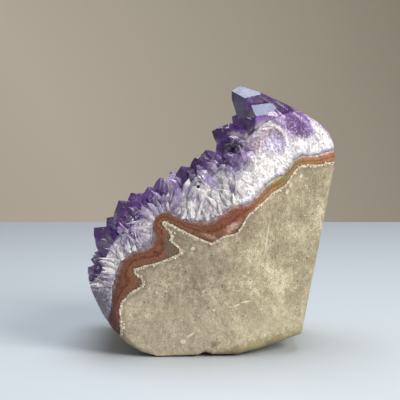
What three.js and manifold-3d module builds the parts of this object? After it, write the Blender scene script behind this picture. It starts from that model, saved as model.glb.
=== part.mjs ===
// Amethyst cluster on its basalt, sawn to stand and polished round the edge. Millimetres, +Z up.
// The origin is the middle of the resting face. -Y is the polished side that shows the layers in
// section, and the quartz points grow out to -X and up.
import * as THREE from "three";
import { ConvexGeometry } from "three/addons/geometries/ConvexGeometry.js";
import { mergeVertices } from "three/addons/utils/BufferGeometryUtils.js";
import Module from "manifold-3d";

const wasm = await Module();
wasm.setup();

// ---- Driving dimensions ----

const seamGap = 0.3; // clearance between neighbouring solids
const halfDepth = 31; // from the middle to each polished side
const roundingDepth = 9; // how far inside a polished side its edge starts to turn
const sideDoming = 1.2; // how far a polished side stands proud at its middle
const edgeTurns = [0, 30, 60, 90]; // degrees, where the rounded edge has a ring of corners
const domeScales = [0.82, 0.6, 0.35, 0.05]; // the same across a polished side
const farReach = 90; // well outside the stone, where the cutting shapes close
const groundCut = -12; // below the resting face, where they close
const sideReach = 50; // past the polished sides, where they close

// The stone is a little lower at +Y: from fallStart on it loses up to backFall of its height.
const backFall = 0.055;
const fallStart = -14;

// The right-hand end of the -Y side bends away, and the +Y side answers it less.
const bend = { start: 6, end: 46, depth: 13, farShare: 0.4 };

// Outline of the trimmed stone seen from -Y, counterclockwise from the left of the resting face.
// Each run goes on from the last one's end; via curves it, and edge is the rounding at its end.
const outlineRuns = [
  { to: [10, 0], edge: 2.4, steps: 2 },
  { to: [34.6, 6.2], via: [[20, 1.6]], edge: 2.6, steps: 3 },
  { to: [46.3, 68], edge: 3, steps: 3 },
  { to: [41, 85.8], via: [[48.8, 80]], edge: 10, steps: 4 },
  { to: [12, 100.7], via: [[36, 90]], edge: 6, steps: 4 },
  { to: [4, 103], edge: 4, steps: 1 },
  { to: [-49, 58], edge: 4, steps: 3 },
  { to: [-48.8, 37], edge: 9, steps: 2 },
  { to: [-20, 0], via: [[-46, 20], [-36, 0]], edge: 0.4, steps: 7 },
];

// ---- Seams between the layers ----
// Each is a line across the section, from the foot on the left to the right-hand side. near is its
// course on the -Y side and far on the +Y side, as x and z; before and after lead it out of the
// stone. It holds its near course up to foldStart and has taken the far one from foldEnd on.

const foldStart = -17;
const foldEnd = 26;

const basaltSeam = {
  before: [[-40, groundCut], [-35.5, 2]],
  near: [
    [-34, 9], [-34, 14], [-34.5, 17.5], [-33.5, 21], [-30, 24.5], [-26, 27], [-26, 29],
    [-29, 31.5], [-29, 33], [-25, 34.5], [-19, 36], [-11.2, 39.3], [-16, 44], [-14.8, 45.3],
    [-19, 50], [-17.6, 51.4], [-11.5, 48], [-5, 45], [0, 43], [4, 45.5], [9, 46.5], [13, 53],
    [19, 58], [22, 61], [27, 63.5], [31, 69.5], [33, 70.7], [40, 71], [46, 72],
  ],
  far: [
    [-33, 8], [-30, 17], [-23, 24], [-19, 33], [-9, 37], [-3, 43], [6, 43], [13, 50], [21, 55],
    [29, 63], [44, 66],
  ],
  after: [[52, 72.5], [farReach, 75]],
};

const jasperSeam = {
  before: [[-46, groundCut], [-41, 4]],
  near: [
    [-38.5, 12.5], [-36.7, 18], [-36.3, 26], [-35, 31], [-33, 36], [-30.5, 38.7], [-24.5, 40.7],
    [-22, 42.2], [-21.3, 46], [-21.4, 51], [-19.5, 53.6], [-16, 54.2], [-13, 52.4], [-9, 50.9],
    [-4.5, 50.3], [0.5, 51.4], [7.4, 55.7], [12.4, 56.3], [14.5, 57.2], [20, 63.3], [23, 65.7],
    [27, 67], [31, 72.3], [33.3, 73.7], [39, 73.8], [46, 75.8],
  ],
  far: [
    [-37, 10], [-34, 19], [-28, 27.5], [-23, 36.5], [-12, 41.5], [-5, 47], [5, 47.5], [10.5, 53],
    [18, 59], [26, 67], [43, 70],
  ],
  after: [[52, 77.2], [farReach, 80]],
};

const quartzFace = {
  before: [[-farReach, groundCut], [-farReach, 16], [-58, 22.5]],
  near: [
    [-48, 25.6], [-44, 27.5], [-41, 31], [-39.5, 36], [-37.5, 41], [-34, 45], [-25, 53],
    [-14, 60], [-2, 66.2], [4, 70], [8, 74], [11, 78.6], [15, 83], [20, 87], [27, 89.6], [38, 92],
  ],
  far: [
    [-49, 20], [-42, 22.5], [-38, 28], [-34, 34.5], [-27, 41.5], [-18, 48], [-8, 53], [1, 59.5],
    [8, 67], [14, 75], [23, 82], [38, 86.5],
  ],
  after: [[50, 94], [farReach, 96]],
};

// ---- Stands of quartz points along the -Y edge ----
// tip is where a point ends, aim the way it grows, radius half its width across the flats, and
// facing the way one of its three large end faces turns.

const edgeStands = {
  crest_points: [
    { tip: [7.5, -15, 98.2], aim: [-0.85, -0.2, 0.49], facing: [-0.1, -0.5, 0.86], radius: 7.4 },
    { tip: [14.6, -24.5, 93], aim: [-0.6, -0.15, 0.78], facing: [0.1, -0.65, 0.75], radius: 6.6 },
    { tip: [10, -22, 88], aim: [-0.8, -0.2, 0.6], facing: [-0.5, -0.8, 0.2], radius: 4.4 },
    { tip: [19, -10, 101], aim: [-0.7, -0.1, 0.7], facing: [0.2, -0.6, 0.8], radius: 7 },
    { tip: [28, -13, 97], aim: [-0.4, -0.1, 0.9], facing: [0, -1, 0.3], radius: 7 },
    { tip: [7.8, -8, 88.4], aim: [-0.85, 0, 0.53], facing: [-0.2, -1, 0.2], radius: 3.8 },
  ],
  step_points: [
    { tip: [0, -19, 83.2], aim: [-0.93, -0.1, 0.35], facing: [-0.45, -0.85, 0.2], radius: 4.8 },
    { tip: [1.7, -25, 78.9], aim: [-0.6, -0.4, 0.7], facing: [-0.1, -0.95, 0.2], radius: 6.2 },
    { tip: [7, -25, 83.6], aim: [-0.7, -0.1, 0.7], facing: [-0.2, -0.9, 0.3], radius: 3.6 },
    { tip: [8, -27, 78.4], aim: [-0.6, -0.3, 0.7], facing: [0, -1, 0.1], radius: 4 },
  ],
  saddle_points: [
    { tip: [-2.2, -9, 75.8], aim: [-0.35, -0.2, 0.92], facing: [-0.6, -0.5, 0.6], radius: 6.6 },
    { tip: [2, -12, 76.4], aim: [-0.35, -0.1, 0.94], facing: [0.2, -0.9, 0.4], radius: 4.4 },
  ],
  shoulder_points: [
    { tip: [-6.4, -22, 73.6], aim: [-0.35, -0.12, 0.92], facing: [-0.3, -1, 0.3], radius: 6 },
    { tip: [-11.4, -21, 70.4], aim: [-0.4, -0.1, 0.92], facing: [-0.8, -0.5, 0.4], radius: 3.8 },
    { tip: [3.4, -27.6, 72.4], aim: [-0.25, -0.16, 0.94], facing: [-0.2, -1, 0.2], radius: 4 },
    { tip: [-1.6, -27.6, 71.4], aim: [-0.3, -0.1, 0.94], facing: [-0.7, -0.7, 0.2], radius: 3 },
  ],
  comb_points: [
    { tip: [-13.2, -19, 68.2], aim: [-0.35, 0, 0.94], facing: [-0.3, -1, 0.2], radius: 2.8 },
    { tip: [-15, -26, 65.6], aim: [-0.2, -0.1, 0.97], facing: [-0.3, -1, 0], radius: 1.7 },
    { tip: [-16.6, -27, 66.2], aim: [-0.24, -0.1, 0.97], facing: [0.3, -1, 0], radius: 1.6 },
    { tip: [-18.2, -26, 65.8], aim: [-0.28, -0.1, 0.97], facing: [-0.3, -1, 0], radius: 1.6 },
    { tip: [-19.3, -22, 66.2], aim: [-0.24, -0.1, 0.97], facing: [-0.9, -0.5, 0.2], radius: 3 },
    { tip: [-23.9, -20, 62.6], aim: [-0.4, -0.05, 0.92], facing: [-0.8, -0.6, 0.2], radius: 3.2 },
    { tip: [-22.2, -26, 61.4], aim: [-0.3, -0.1, 0.95], facing: [-0.2, -1, 0.2], radius: 2.4 },
  ],
  broad_points: [
    { tip: [-30.1, -22.5, 60.6], aim: [-0.5, -0.12, 0.86], facing: [-0.3, -1, 0.3], radius: 6.8 },
    { tip: [-25.8, -24, 59.6], aim: [-0.4, -0.1, 0.92], facing: [0.2, -1, 0.3], radius: 4 },
    { tip: [-35, -18, 57.2], aim: [-0.6, 0, 0.8], facing: [-0.8, -0.6, 0.2], radius: 3.6 },
    { tip: [-36.2, -26, 53.8], aim: [-0.72, -0.2, 0.66], facing: [-0.6, -1, 0.4], radius: 3.4 },
  ],
  corner_points: [
    { tip: [-44.6, -16, 46.6], aim: [-0.8, -0.14, 0.58], facing: [-0.6, -0.9, 0.2], radius: 5.6 },
    { tip: [-40, -13, 50], aim: [-0.7, 0, 0.7], facing: [0, -0.9, 0.5], radius: 3.6 },
    { tip: [-44, -18, 41.6], aim: [-0.9, -0.2, 0.4], facing: [-0.5, -0.9, 0.1], radius: 4 },
    { tip: [-39.1, -28, 41.8], aim: [-0.78, -0.3, 0.55], facing: [-0.5, -1, 0.4], radius: 3 },
  ],
  toe_points: [
    { tip: [-46.4, -17, 31.2], aim: [-0.94, -0.1, 0.3], facing: [-0.6, -0.6, 0.8], radius: 4.2 },
    { tip: [-42.6, -26, 33], aim: [-0.9, -0.3, 0.4], facing: [-0.4, -1, 0.4], radius: 3 },
    { tip: [-45.6, -8, 31], aim: [-0.95, 0.1, 0.3], facing: [-0.6, 0.6, 0.8], radius: 3.6 },
  ],
};

// ---- The rest of the druse: groups in staggered rows up the slope ----

const druse = {
  rows: 7, // from the toe to the crest
  firstShare: 0.1, // how far up the quartz face the first row and the last one stand
  lastShare: 0.83,
  toeHeight: 0.75, // height of the first row against the others
  columns: 4, // from firstY on
  firstY: -10,
  pitch: 11.5, // from one column to the next
  stagger: 3, // y shift of every second row
  radius: 6.2,
  height: 7.6, // from the quartz face to the tip
  spread: 0.18, // how much size varies
  shift: 1, // how far a group may stand from its row
  besides: 1, // smaller points beside each, and one more in every second group
  besideSize: 0.68, // radius and height of a smaller point against its neighbour's
  besideHeight: 0.6,
  lean: 0.3,
  seed: 11,
};

const rootDepth = 9; // how far a point's own shape runs on past its radius, below the tip
const pyramidSlope = THREE.MathUtils.degToRad(51.8); // a quartz pyramid face from the level
const prismShares = [0.84, 1.14]; // least and most distance of a prism face, against the radius
const smallFaceShares = [0.1, 0.5]; // the same for how far a small end face stands out

// ---- Solids ----

function positionsOnly(geometry) {
  return new THREE.BufferGeometry().setAttribute("position", geometry.getAttribute("position"));
}

function solidOf(geometry) {
  const shared = geometry.index ? geometry : mergeVertices(positionsOnly(geometry), 1e-4);
  return new wasm.Manifold(
    new wasm.Mesh({
      numProp: 3,
      vertProperties: new Float32Array(shared.getAttribute("position").array),
      triVerts: new Uint32Array(shared.index.array),
    }),
  );
}

function geometryOf(solid) {
  const mesh = solid.getMesh();
  const indexed = new THREE.BufferGeometry();
  indexed.setAttribute("position", new THREE.BufferAttribute(mesh.vertProperties, mesh.numProp));
  indexed.setIndex(new THREE.BufferAttribute(mesh.triVerts, 1));
  const faceted = indexed.toNonIndexed();
  faceted.computeVertexNormals();
  return faceted;
}

// A cut can leave chips off the main body: only that body is kept.
function largestPiece(solid) {
  return solid.decompose().reduce((a, b) => (a.volume() > b.volume() ? a : b));
}

// Closes a stack of equal rings, listed from -Y to +Y, with a triangulated cap on each end.
function stackedRings(rings) {
  const count = rings[0].length;
  const index = [];
  for (let k = 0; k < rings.length - 1; k++) {
    for (let i = 0; i < count; i++) {
      const [a, b] = [k * count + i, k * count + ((i + 1) % count)];
      index.push(a, a + count, b, b, a + count, b + count);
    }
  }
  [0, rings.length - 1].forEach((k) => {
    const flat = rings[k].map((p) => new THREE.Vector2(p.x, p.z));
    THREE.ShapeUtils.triangulateShape(flat, []).forEach(([a, b, c]) => {
      const facesNear = THREE.ShapeUtils.area([flat[a], flat[b], flat[c]]) > 0;
      const [second, third] = facesNear === (k === 0) ? [b, c] : [c, b];
      index.push(k * count + a, k * count + second, k * count + third);
    });
  });
  const positions = rings.flat().flatMap((p) => [p.x, p.y, p.z]);
  const geometry = new THREE.BufferGeometry();
  geometry.setAttribute("position", new THREE.Float32BufferAttribute(positions, 3));
  return geometry.setIndex(index);
}

// ---- The trimmed stone ----

// The outline's corners, each with its edge radius.
function outlineCorners() {
  const corners = [];
  let [start, edgeBefore] = [outlineRuns.at(-1).to, outlineRuns.at(-1).edge];
  outlineRuns.forEach(({ to, via = [], edge, steps }) => {
    const path = new THREE.Path().moveTo(...start);
    if (via.length === 0) path.lineTo(...to);
    if (via.length === 1) path.quadraticCurveTo(...via[0], ...to);
    if (via.length === 2) path.bezierCurveTo(...via[0], ...via[1], ...to);
    for (let step = 1; step <= steps; step++) {
      const share = step / steps;
      const radius = THREE.MathUtils.lerp(edgeBefore, edge, share);
      corners.push({ point: path.curves[0].getPoint(share), radius });
    }
    [start, edgeBefore] = [to, edge];
  });
  return corners;
}

function inwardNormal(corners, i) {
  const before = corners[(i + corners.length - 1) % corners.length].point;
  const after = corners[(i + 1) % corners.length].point;
  return new THREE.Vector2(before.y - after.y, after.x - before.x).normalize();
}

// A point of the outline at depth y, with the bend of the sides and the fall to the back.
function settled(point, y) {
  const turned = bend.depth * THREE.MathUtils.smoothstep(point.x, bend.start, bend.end);
  const share = y < 0 ? 1 : bend.farShare;
  const fall = backFall * THREE.MathUtils.smoothstep(y, fallStart, halfDepth);
  return new THREE.Vector3(point.x, y * (1 - (share * turned) / halfDepth), point.y * (1 - fall));
}

function trimmedStone() {
  const corners = outlineCorners();
  const middle = new THREE.Vector2();
  corners.forEach(({ point }) => middle.addScaledVector(point, 1 / corners.length));
  const rims = edgeTurns.map((degrees) => {
    const turn = THREE.MathUtils.degToRad(degrees);
    return { turn, scale: 1, y: halfDepth - roundingDepth * (1 - Math.sin(turn)) };
  });
  const domes = domeScales.map((scale) => {
    return { turn: Math.PI / 2, scale, y: halfDepth + sideDoming * (1 - scale) };
  });
  const far = [...rims, ...domes];
  const near = far.map((ring) => ({ ...ring, y: -ring.y })).reverse();
  const rings = [...near, ...far].map(({ turn, scale, y }) =>
    corners.map(({ point, radius }, i) => {
      const inset = radius * (1 - Math.cos(turn));
      const rim = point.clone().addScaledVector(inwardNormal(corners, i), inset);
      return settled(middle.clone().lerp(rim, scale), y);
    }),
  );
  return solidOf(stackedRings(rings));
}

// ---- Seams ----

// A seam's line at depth y, moved lift towards the crystals. The far course is read at the share
// of its length that each near point stands at.
function seamLine(seam, y, lift = 0) {
  const points = seam.near.map(([x, z]) => new THREE.Vector2(x, z));
  const far = new THREE.SplineCurve(seam.far.map(([x, z]) => new THREE.Vector2(x, z)));
  const blend = THREE.MathUtils.smoothstep(y, foldStart, foldEnd);
  const reached = [0];
  points.slice(1).forEach((p, i) => reached.push(reached[i] + p.distanceTo(points[i])));
  const shares = reached.map((length) => length / reached.at(-1));
  const mixed = points.map((p, i) => p.clone().lerp(far.getPointAt(shares[i]), blend));
  return mixed.map((p, i) => {
    const a = mixed[Math.max(i - 1, 0)];
    const b = mixed[Math.min(i + 1, mixed.length - 1)];
    return p.clone().addScaledVector(new THREE.Vector2(a.y - b.y, b.x - a.x).normalize(), lift);
  });
}

// Everything on the basalt side of a seam, out to well past the stone.
function belowSeam(seam, lift = 0) {
  const depths = [-sideReach, foldStart, (foldStart + foldEnd) / 2, foldEnd, sideReach];
  const ends = (list) => list.map(([x, z]) => new THREE.Vector2(x - lift, z + lift));
  const corner = new THREE.Vector2(farReach, groundCut + lift);
  const rings = depths.map((y) => {
    const line = [...ends(seam.before), ...seamLine(seam, y, lift), ...ends(seam.after), corner];
    return line.reverse().map((p) => new THREE.Vector3(p.x, y, p.y));
  });
  return solidOf(stackedRings(rings));
}

// ---- Quartz points ----

function randomFrom(seed) {
  let state = seed;
  return () => {
    state = (state * 1664525 + 1013904223) % 4294967296;
    return state / 4294967296;
  };
}

// Where three planes meet, or null where they don't. A plane is a unit normal and its distance.
function meetingPoint(a, b, c) {
  const bc = b.normal.clone().cross(c.normal);
  const determinant = a.normal.dot(bc);
  if (Math.abs(determinant) < 1e-6) return null;
  return bc
    .multiplyScalar(a.distance)
    .addScaledVector(c.normal.clone().cross(a.normal), b.distance)
    .addScaledVector(a.normal.clone().cross(b.normal), c.distance)
    .divideScalar(determinant);
}

// Corners of the solid that a set of planes encloses.
function cornersWithin(planes) {
  const corners = [];
  planes.forEach((a, i) =>
    planes.slice(i + 1).forEach((b, j) =>
      planes.slice(i + j + 2).forEach((c) => {
        const corner = meetingPoint(a, b, c);
        if (corner && planes.every((p) => p.normal.dot(corner) <= p.distance + 1e-5)) {
          corners.push(corner);
        }
      }),
    ),
  );
  return corners;
}

// One quartz point: six prism faces and a pyramid end, on which three faces are large and the
// three between them small or missing. grow moves each face out, to cut clearance in a neighbour.
function quartzPoint({ tip, aim, facing, radius }, random, grow = 0) {
  const upright = new THREE.Vector3(0, 0, 1);
  const turn = new THREE.Quaternion().setFromUnitVectors(upright, aim.clone().normalize());
  const front = facing.clone().applyQuaternion(turn.clone().invert());
  const start = Math.atan2(front.y, front.x);
  const within = ([least, most]) => radius * THREE.MathUtils.lerp(least, most, random());
  const planes = [{ normal: new THREE.Vector3(0, 0, -1), distance: 2 * radius + rootDepth }];
  for (let side = 0; side < 6; side++) {
    const around = start + (side * Math.PI) / 3;
    const across = new THREE.Vector3(Math.cos(around), Math.sin(around), 0);
    planes.push({ normal: across.clone(), distance: within(prismShares) + grow });
    const outset = side % 2 ? within(smallFaceShares) : 0;
    const normal = across.multiplyScalar(Math.sin(pyramidSlope)).setZ(Math.cos(pyramidSlope));
    planes.push({ normal, distance: outset + grow });
  }
  const geometry = new ConvexGeometry(cornersWithin(planes));
  geometry.applyQuaternion(turn);
  geometry.translate(tip.x, tip.y, tip.z);
  return solidOf(geometry);
}

// Points grown together, joined in one solid. Each keeps its own random numbers, so a grown copy
// of the stand is the same shape with clearance.
function joinedPoints({ points, seed }, grow = 0) {
  return points
    .map((point, i) => quartzPoint(point, randomFrom(seed * 101 + i), grow))
    .reduce((a, b) => a.add(b));
}

// A group out on the slope: one point square to the quartz face, with smaller ones leaning off it.
function slopePoints(row, column, random) {
  const share = THREE.MathUtils.lerp(druse.firstShare, druse.lastShare, row / (druse.rows - 1));
  const y = druse.firstY + column * druse.pitch + (row % 2 ? druse.stagger : 0);
  const tall = row === 0 ? druse.toeHeight : 1;
  const vary = () => 1 + druse.spread * (2 * random() - 1);
  const line = new THREE.Path(seamLine(quartzFace, y));
  const foot = line.getPointAt(share);
  const along = line.getTangentAt(share);
  const out = new THREE.Vector3(-along.y, 0, along.x);
  const up = new THREE.Vector3(along.x, 0, along.y);
  const across = new THREE.Vector3(0, 1, 0);
  const root = new THREE.Vector3(foot.x, y, foot.y).addScaledVector(up, druse.shift * (2 * random() - 1));
  const lean = out.clone().addScaledVector(up, druse.lean * (random() - 0.5));
  lean.addScaledVector(across, druse.lean * (random() - 0.5));
  const anyWay = () => up.clone().applyAxisAngle(out, 2 * Math.PI * random());
  const radius = druse.radius * vary() * Math.sqrt(tall);
  const height = druse.height * vary() * tall;
  const tip = root.clone().addScaledVector(lean, height);
  const main = { tip, aim: lean, facing: anyWay(), radius };
  const turn = 2 * Math.PI * random();
  const besides = druse.besides + ((row + column) % 2);
  const others = Array.from({ length: besides }, (_, i) => {
    const round = turn + (2 * Math.PI * (i + 0.3 * random())) / besides;
    const away = up.clone().multiplyScalar(Math.cos(round)).addScaledVector(across, Math.sin(round));
    const low = root.clone().addScaledVector(away, radius);
    return {
      tip: low.addScaledVector(out, druse.besideHeight * height * vary()),
      aim: lean.clone().addScaledVector(away, druse.lean),
      facing: anyWay(),
      radius: druse.besideSize * radius * vary(),
    };
  });
  return [main, ...others];
}

function allStands() {
  const vector = (numbers) => new THREE.Vector3(...numbers);
  const stands = Object.entries(edgeStands).map(([name, list], i) => {
    const points = list.map(({ tip, aim, facing, radius }) => {
      return { tip: vector(tip), aim: vector(aim), facing: vector(facing), radius };
    });
    return { name, points, seed: i + 1 };
  });
  const random = randomFrom(druse.seed);
  for (let row = 0; row < druse.rows; row++) {
    for (let column = 0; column < druse.columns; column++) {
      const points = slopePoints(row, column, random);
      stands.push({ name: `druse_group_${row + 1}_${column + 1}`, points, seed: stands.length + 1 });
    }
  }
  return stands;
}

// ---- Assembly ----

const materials = {
  basalt: new THREE.MeshStandardMaterial({ color: 0xa99d82, roughness: 0.85, metalness: 0 }),
  jasper: new THREE.MeshStandardMaterial({ color: 0x7c4c35, roughness: 0.4, metalness: 0 }),
  quartz: new THREE.MeshStandardMaterial({ color: 0xd8d2da, roughness: 0.3, metalness: 0 }),
  amethyst: new THREE.MeshStandardMaterial({ color: 0x5b3a82, roughness: 0.15, metalness: 0 }),
};

const cluster = new THREE.Group();

function place(name, solid, material) {
  const mesh = new THREE.Mesh(geometryOf(largestPiece(solid)), material);
  mesh.name = name;
  cluster.add(mesh);
}

const stone = trimmedStone();
const underBasalt = stone.intersect(belowSeam(basaltSeam));
const underJasper = stone.intersect(belowSeam(jasperSeam));
const underQuartz = stone.intersect(belowSeam(quartzFace));
place("basalt_matrix", underBasalt, materials.basalt);
place("jasper_band", underJasper.subtract(belowSeam(basaltSeam, seamGap)), materials.jasper);
place("quartz_layer", underQuartz.subtract(belowSeam(jasperSeam, seamGap)), materials.quartz);

// The points are trimmed by the polished stone, the quartz face and the stands already placed.
let taken = belowSeam(quartzFace, seamGap);
allStands().forEach((stand) => {
  place(stand.name, joinedPoints(stand).intersect(stone).subtract(taken), materials.amethyst);
  taken = taken.add(joinedPoints(stand, seamGap));
});

export default cluster;
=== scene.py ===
# Amethyst cluster on its basalt. Everything is in metres, and mm makes the small sizes readable.
import math
import random

import bmesh
import bpy
import numpy as np
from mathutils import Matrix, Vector
from mathutils.bvhtree import BVHTree


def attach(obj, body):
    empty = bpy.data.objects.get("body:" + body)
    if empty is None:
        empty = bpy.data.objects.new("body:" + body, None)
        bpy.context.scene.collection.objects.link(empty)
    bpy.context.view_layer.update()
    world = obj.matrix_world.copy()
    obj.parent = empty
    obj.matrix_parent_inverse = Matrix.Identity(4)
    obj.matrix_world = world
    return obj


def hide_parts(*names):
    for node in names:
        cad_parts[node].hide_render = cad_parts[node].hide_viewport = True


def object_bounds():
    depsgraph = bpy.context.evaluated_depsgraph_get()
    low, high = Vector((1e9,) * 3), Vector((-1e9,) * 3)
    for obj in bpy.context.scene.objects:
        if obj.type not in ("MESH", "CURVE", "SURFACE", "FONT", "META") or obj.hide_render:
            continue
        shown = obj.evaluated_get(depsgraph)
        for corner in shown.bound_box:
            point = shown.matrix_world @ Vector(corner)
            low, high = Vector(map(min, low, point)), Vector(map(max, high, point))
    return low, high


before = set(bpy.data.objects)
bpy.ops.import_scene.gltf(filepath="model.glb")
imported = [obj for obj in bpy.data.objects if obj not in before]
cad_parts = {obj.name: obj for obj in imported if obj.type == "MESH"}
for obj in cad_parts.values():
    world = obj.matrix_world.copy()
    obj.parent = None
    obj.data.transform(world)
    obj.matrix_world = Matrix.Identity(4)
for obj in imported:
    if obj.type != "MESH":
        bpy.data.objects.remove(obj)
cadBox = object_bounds()
scene = bpy.context.scene
mm = 0.001
tiny = 1e-9
print("frame loaded:", len(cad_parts), "solids")

crystalNodes = [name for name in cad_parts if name.endswith("_points") or name.startswith("druse_")]


def newPiece(name, mesh):
    piece = bpy.data.objects.new(name, mesh)
    scene.collection.objects.link(piece)
    return piece


def evaluatedMesh(piece):
    depsgraph = bpy.context.evaluated_depsgraph_get()
    return bpy.data.meshes.new_from_object(piece.evaluated_get(depsgraph))


def mergedCopy(nodeName, name):
    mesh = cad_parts[nodeName].data.copy()
    mesh.materials.clear()
    bm = bmesh.new()
    bm.from_mesh(mesh)
    bmesh.ops.remove_doubles(bm, verts=bm.verts, dist=0.002 * mm)
    bm.to_mesh(mesh)
    bm.free()
    return newPiece(name, mesh)


def bakeModifiers(piece):
    piece.data = evaluatedMesh(piece)
    piece.modifiers.clear()


def remesh(piece, voxel, smoothing):
    voxels = piece.modifiers.new("voxels", "REMESH")
    voxels.mode = "VOXEL"
    voxels.voxel_size = voxel
    smooth = piece.modifiers.new("smooth", "SMOOTH")
    smooth.factor = 0.5
    smooth.iterations = smoothing
    bakeModifiers(piece)


def roughen(piece, kind, size, height):
    texture = bpy.data.textures.new(piece.name + kind.title(), kind)
    texture.noise_scale = size
    displace = piece.modifiers.new(kind.title(), "DISPLACE")
    displace.texture = texture
    displace.strength = height
    displace.mid_level = 0.5
    bakeModifiers(piece)


def surfaceOf(nodeNames):
    corners, faces = [], []
    for nodeName in nodeNames:
        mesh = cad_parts[nodeName].data
        offset = len(corners)
        corners += [v.co.copy() for v in mesh.vertices]
        faces += [[offset + i for i in p.vertices] for p in mesh.polygons]
    return BVHTree.FromPolygons(corners, faces)


def cornersOf(mesh):
    flat = np.empty(len(mesh.vertices) * 3)
    mesh.vertices.foreach_get("co", flat)
    return flat.reshape(-1, 3)


def normalsOf(mesh):
    flat = np.empty(len(mesh.vertices) * 3, np.float32)
    mesh.vertex_normals.foreach_get("vector", flat)
    return flat.reshape(-1, 3)


def moveCorners(mesh, corners):
    mesh.vertices.foreach_set("co", corners.astype(np.float32).ravel())
    mesh.update()


# the nearest point of a surface to each corner, and how far away it is
def nearestOn(surface, corners):
    found = [surface.find_nearest(Vector(corner)) for corner in corners]
    return np.array([f[0] for f in found]), np.array([f[3] for f in found])


# the thin clearance to a neighbour is filled up where the two lie side by side
def closeGap(corners, surface, gap, reach=0.8 * mm, most=1.3):
    near, away = nearestOn(surface, corners)
    share = np.where(away < reach, np.minimum(gap / np.maximum(away, tiny), most), 0)
    return corners + (near - corners) * share[:, None]


def storeValue(mesh, name, values):
    attribute = mesh.attributes.new(name, "FLOAT", "POINT")
    attribute.data.foreach_set("value", np.asarray(values, np.float32))


def storeVector(mesh, name, vectors):
    attribute = mesh.attributes.new(name, "FLOAT_VECTOR", "POINT")
    attribute.data.foreach_set("vector", np.asarray(vectors, np.float32).ravel())


def finishPiece(piece, material, slotName, *nodeNames):
    piece.data.materials.clear()
    piece.data.materials.append(material)
    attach(piece, "root")
    if nodeNames:
        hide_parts(*nodeNames)


def newMaterial(name):
    material = bpy.data.materials.new(name)
    material.use_nodes = True
    tree = material.node_tree
    return material, tree, tree.nodes["Principled BSDF"]


# an input takes a link from another node, or a plain value
def setInputs(tree, node, inputs):
    for name, value in inputs.items():
        if isinstance(value, bpy.types.NodeSocket):
            tree.links.new(value, node.inputs[name])
        else:
            node.inputs[name].default_value = value


def addNode(tree, kind, inputs=None, **settings):
    made = tree.nodes.new(kind)
    for name, value in settings.items():
        setattr(made, name, value)
    setInputs(tree, made, inputs or {})
    return made


def place(tree):
    return addNode(tree, "ShaderNodeTexCoord").outputs["Object"]


def stored(tree, name, output="Fac"):
    return addNode(tree, "ShaderNodeAttribute", attribute_name=name).outputs[output]


def calc(tree, operation, a, b):
    return addNode(tree, "ShaderNodeMath", {0: a, 1: b}, operation=operation).outputs[0]


def vectorCalc(tree, operation, first, second=None, scale=None):
    inputs = {0: first}
    if second is not None:
        inputs[1] = second
    if scale is not None:
        inputs["Scale"] = scale
    output = "Value" if operation == "LENGTH" else "Vector"
    return addNode(tree, "ShaderNodeVectorMath", inputs, operation=operation).outputs[output]


# a pattern value between 0 and 1, turned into one of that reach on both sides of 0
def around(tree, value, reach):
    return calc(tree, "MULTIPLY", calc(tree, "SUBTRACT", value, 0.5), reach)


def greyOf(tree, value):
    inputs = {"Red": value, "Green": value, "Blue": value}
    return addNode(tree, "ShaderNodeCombineColor", inputs).outputs[0]


def cloud(tree, vector, size, detail=3.0, roughness=0.55):
    inputs = {"Vector": vector, "Scale": 1 / size, "Detail": detail, "Roughness": roughness}
    return addNode(tree, "ShaderNodeTexNoise", inputs).outputs["Fac"]


def grains(tree, vector, size):
    return addNode(tree, "ShaderNodeTexVoronoi", {"Vector": vector, "Scale": 1 / size})


# a random number for each grain
def perGrain(tree, vector, size):
    colour = grains(tree, vector, size).outputs["Color"]
    return addNode(tree, "ShaderNodeSeparateColor", {"Color": colour}).outputs["Red"]


def between(tree, value, low, high, toLow=0.0, toHigh=1.0, kind="SMOOTHSTEP"):
    inputs = {"Value": value, "From Min": low, "From Max": high, "To Min": toLow, "To Max": toHigh}
    return addNode(tree, "ShaderNodeMapRange", inputs, interpolation_type=kind).outputs["Result"]


def blend(tree, factor, first, second, kind="MIX"):
    made = addNode(tree, "ShaderNodeMix", {0: factor}, data_type="RGBA", blend_type=kind, clamp_factor=True)
    for index, colour in ((6, first), (7, second)):
        setInputs(tree, made, {index: (*colour, 1) if isinstance(colour, tuple) else colour})
    return made.outputs[2]


# makes a colour darker or lighter by a pattern value, from one factor to another
def shaded(tree, colour, value, low, high, dark, light):
    factor = between(tree, value, low, high, dark, light, "LINEAR")
    return blend(tree, 1.0, colour, greyOf(tree, factor), "MULTIPLY")


def ramp(tree, value, stops):
    made = addNode(tree, "ShaderNodeValToRGB", {"Fac": value})
    elements = made.color_ramp.elements
    while len(elements) < len(stops):
        elements.new(0.5)
    for element, (position, colour) in zip(elements, stops):
        element.position = position
        element.color = (*colour, 1)
    return made.outputs["Color"]


def bump(tree, height, distance, strength=1.0):
    inputs = {"Height": height, "Distance": distance, "Strength": strength}
    return addNode(tree, "ShaderNodeBump", inputs).outputs["Normal"]


# each grain's face leans its own way, so that it catches the light by itself
def leaningNormal(tree, vector, size, lean):
    colour = grains(tree, vector, size).outputs["Color"]
    centred = vectorCalc(tree, "SUBTRACT", colour, (0.5, 0.5, 0.5))
    scaled = vectorCalc(tree, "SCALE", centred, scale=lean)
    face = addNode(tree, "ShaderNodeNewGeometry").outputs["Normal"]
    return vectorCalc(tree, "NORMALIZE", vectorCalc(tree, "ADD", face, scaled))


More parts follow.
